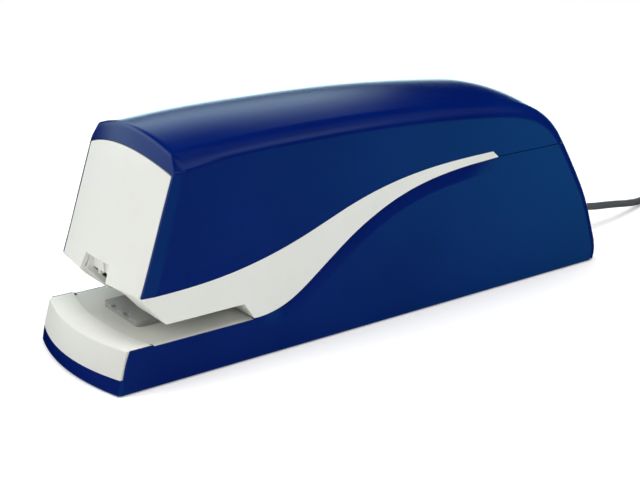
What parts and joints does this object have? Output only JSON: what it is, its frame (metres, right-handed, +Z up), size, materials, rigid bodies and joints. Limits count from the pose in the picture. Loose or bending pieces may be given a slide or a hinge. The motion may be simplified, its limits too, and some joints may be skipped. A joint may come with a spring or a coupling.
{
  "type": "electric desktop stapler",
  "caption": "Electric desktop stapler: crowned case over a paper throat, front-loading magazine drawer, geared motor drive and a low-voltage lead with its adapter.",
  "frame": {"origin": "on the ground, under the middle of the case without its lead", "axes": "+Z up, the paper throat and front cover face -Y, the lead leaves at +Y, +X is the side seen on the right from the front"},
  "size_m": [0.0643, 0.4536, 0.0872],
  "materials": {
    "blue_shell": "polished",
    "white_plastic": "satin",
    "guide_plastic": "satin",
    "steel": "zinc plated",
    "spring_steel": "bright drawn",
    "staple_wire": "bright",
    "gear_nylon": "moulded",
    "brass": "turned",
    "motor_can": "zinc plated",
    "screw_steel": "zinc plated",
    "board_green": "solder mask",
    "capacitor_sleeve": "sleeve",
    "black_plastic": "satin",
    "foot_rubber": "moulded",
    "lead_grey": "satin"
  },
  "bodies": {
    "housing": {"adapter": "black_plastic", "adapter_pins": "brass", "adapter_relief": "lead_grey", "anvil": "steel", "base_plate": "white_plastic", "base_shell_left": "blue_shell", "base_shell_right": "blue_shell", "button_spring": "spring_steel", "capacitors": "capacitor_sleeve", "case_screws": "screw_steel", "chassis_left": "steel", "chassis_right": "steel", "chassis_screws": "screw_steel", "chassis_spacers": "steel", "circuit_board": "board_green", "cord": "lead_grey", "cord_coil": "lead_grey", "cord_plug": "lead_grey", "cord_relief": "lead_grey", "dc_jack": "black_plastic", "feet": "foot_rubber", "inner_housing": "white_plastic", "latch_pin": "steel", "lever_pin": "steel", "magazine_guide": "guide_plastic", "microswitch": "black_plastic", "motor": "motor_can", "motor_screws": "screw_steel", "power_transistor": "black_plastic", "top_cover": "blue_shell", "trigger_pin": "steel"},
    "drawer": {"front_cover": "white_plastic", "magazine_nose": "white_plastic", "magazine_channel": "steel", "magazine_rail": "steel", "staple_strip": "staple_wire", "pusher_rod": "steel", "pusher_spring": "spring_steel"},
    "pusher_block": {"pusher": "guide_plastic"},
    "crank": {"main_shaft": "steel", "main_gear": "gear_nylon", "eccentric": "steel"},
    "idler": {"idler_shaft": "steel", "idler_pinion": "gear_nylon", "idler_wheel": "gear_nylon"},
    "rotor": {"motor_pinion": "brass"},
    "lever": {"drive_lever": "steel"},
    "driver": {"driver_holder": "steel", "driver_pin": "steel", "driver_blade": "steel"},
    "trigger": {"paper_trigger": "guide_plastic"},
    "button": {"release_button": "guide_plastic"},
    "latch_hook": {"latch": "guide_plastic"}
  },
  "joints": [
    {"name": "magazine_slide", "type": "slide", "parent": "housing", "child": "drawer", "axis": [0, -1, 0], "range_m": [0, 0.052]},
    {"name": "pusher_slide", "type": "slide", "parent": "drawer", "child": "pusher_block", "axis": [0, 1, 0], "range_m": [0, 0.03], "stiffness_N_per_m": 60, "springref_m": -0.02, "deforming": ["pusher_spring"]},
    {"name": "main_gear_turn", "type": "hinge", "parent": "housing", "child": "crank", "pos_m": [0, -0.026, 0.057], "axis": [-1, 0, 0], "range_deg": [-180, 0]},
    {"name": "idler_turn", "type": "hinge", "parent": "housing", "child": "idler", "pos_m": [0.014, 0.00173, 0.0531], "axis": [-1, 0, 0], "range_deg": [0, 660.5]},
    {"name": "motor_turn", "type": "hinge", "parent": "housing", "child": "rotor", "pos_m": [0.0245, 0.01651, 0.03548], "axis": [-1, 0, 0], "range_deg": [-2377, 0]},
    {"name": "lever_swing", "type": "hinge", "parent": "housing", "child": "lever", "pos_m": [0, 0.048, 0.06], "axis": [1, 0, 0], "range_deg": [0, 5.4]},
    {"name": "driver_drop", "type": "slide", "parent": "housing", "child": "driver", "axis": [0, 0, -1], "range_m": [0, 0.01352]},
    {"name": "paper_trigger_swing", "type": "hinge", "parent": "housing", "child": "trigger", "pos_m": [0.014, -0.068, 0.028], "axis": [1, 0, 0], "range_deg": [0, 18], "stiffness_Nm_per_rad": 0.01, "springref_deg": -17.19},
    {"name": "release_press", "type": "slide", "parent": "housing", "child": "button", "axis": [1, 0, 0], "range_m": [0, 0.0025], "stiffness_N_per_m": 500, "springref_m": -0.002, "deforming": ["button_spring"]},
    {"name": "latch_turn", "type": "hinge", "parent": "housing", "child": "latch_hook", "pos_m": [-0.014, -0.005, 0.03], "axis": [0, 0, 1], "range_deg": [-12.05, 0]}
  ],
  "couplings": [
    {"joint": "idler_turn", "follows": "main_gear_turn", "ratio": -3.6667},
    {"joint": "motor_turn", "follows": "main_gear_turn", "ratio": 13.2},
    {"joint": "lever_swing", "follows": "main_gear_turn", "ratio": -0.029946},
    {"joint": "driver_drop", "follows": "main_gear_turn", "m_per_rad": -0.0042972},
    {"joint": "latch_turn", "follows": "release_press", "rad_per_m": -83.776}
  ]
}
